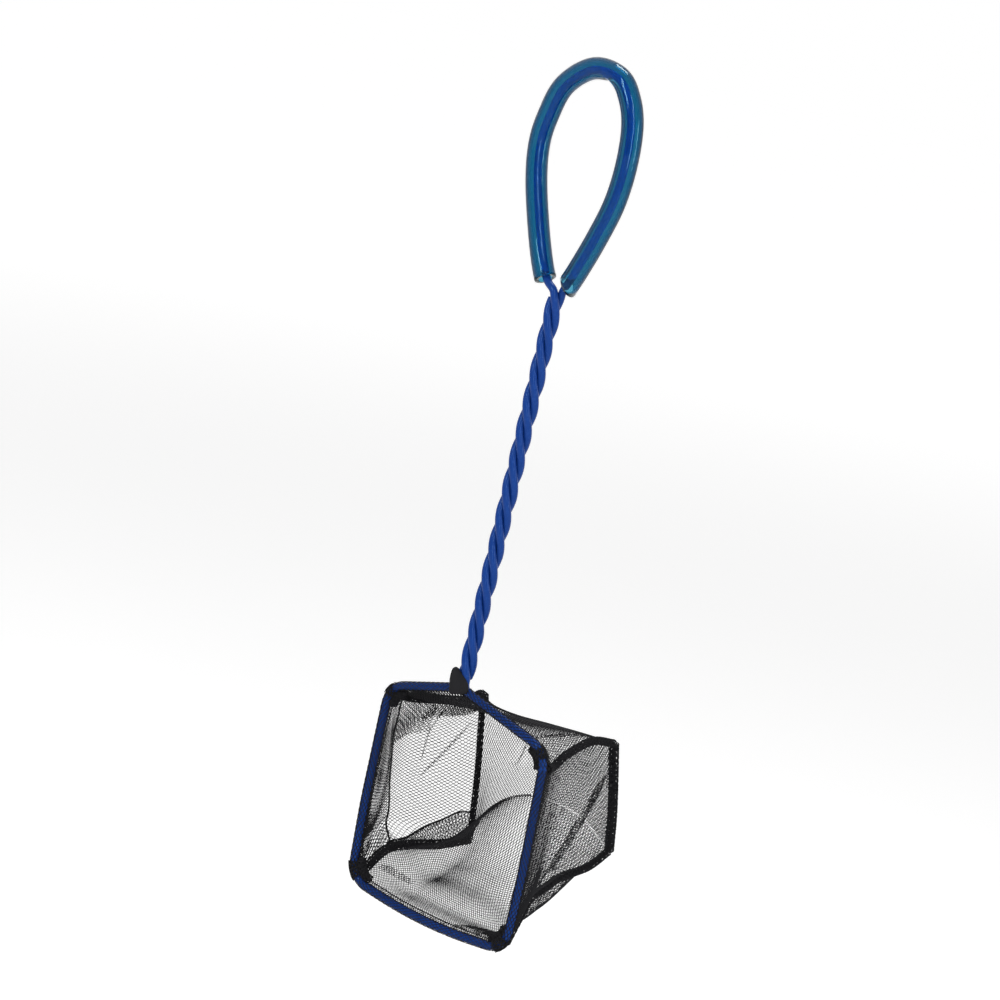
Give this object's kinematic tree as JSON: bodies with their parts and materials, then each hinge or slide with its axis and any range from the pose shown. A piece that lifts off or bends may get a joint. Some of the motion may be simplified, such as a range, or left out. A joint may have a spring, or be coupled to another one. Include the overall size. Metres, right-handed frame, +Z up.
{
  "type": "aquarium fish net",
  "caption": "Small square fish net for an aquarium: a black mesh bag on a square wire hoop, with a twisted wire stem and a tube-covered hanging loop.",
  "frame": {"origin": "the hanging point: the middle of the inside of the hand loop's top, where a hook or peg carries it", "axes": "+Z up along the stem towards the loop's top, X across the hoop, +Y from the hoop into the bag"},
  "size_m": [0.0832, 0.059, 0.3077],
  "materials": {
    "blue_coating": "smooth glossy PVC dip, deep blue",
    "steel_core": "plain drawn steel, seen only at the cut ends",
    "tinted_tube": "clear blue-green soft vinyl, glossy",
    "black_net": "fine knitted polyester net, see-through",
    "black_binding": "doubled and overlocked net, dense and matte"
  },
  "bodies": {
    "root": {"wire_coating": "blue_coating", "wire_core": "steel_core", "grip_tube": "tinted_tube", "net_top": "black_net", "net_back": "black_net", "net_bottom": "black_net", "net_left": "black_net", "net_right": "black_net", "seam_left": "black_binding", "seam_right": "black_binding", "seam_ends": "black_binding", "hem_gather": "black_binding"}
  },
  "joints": []
}
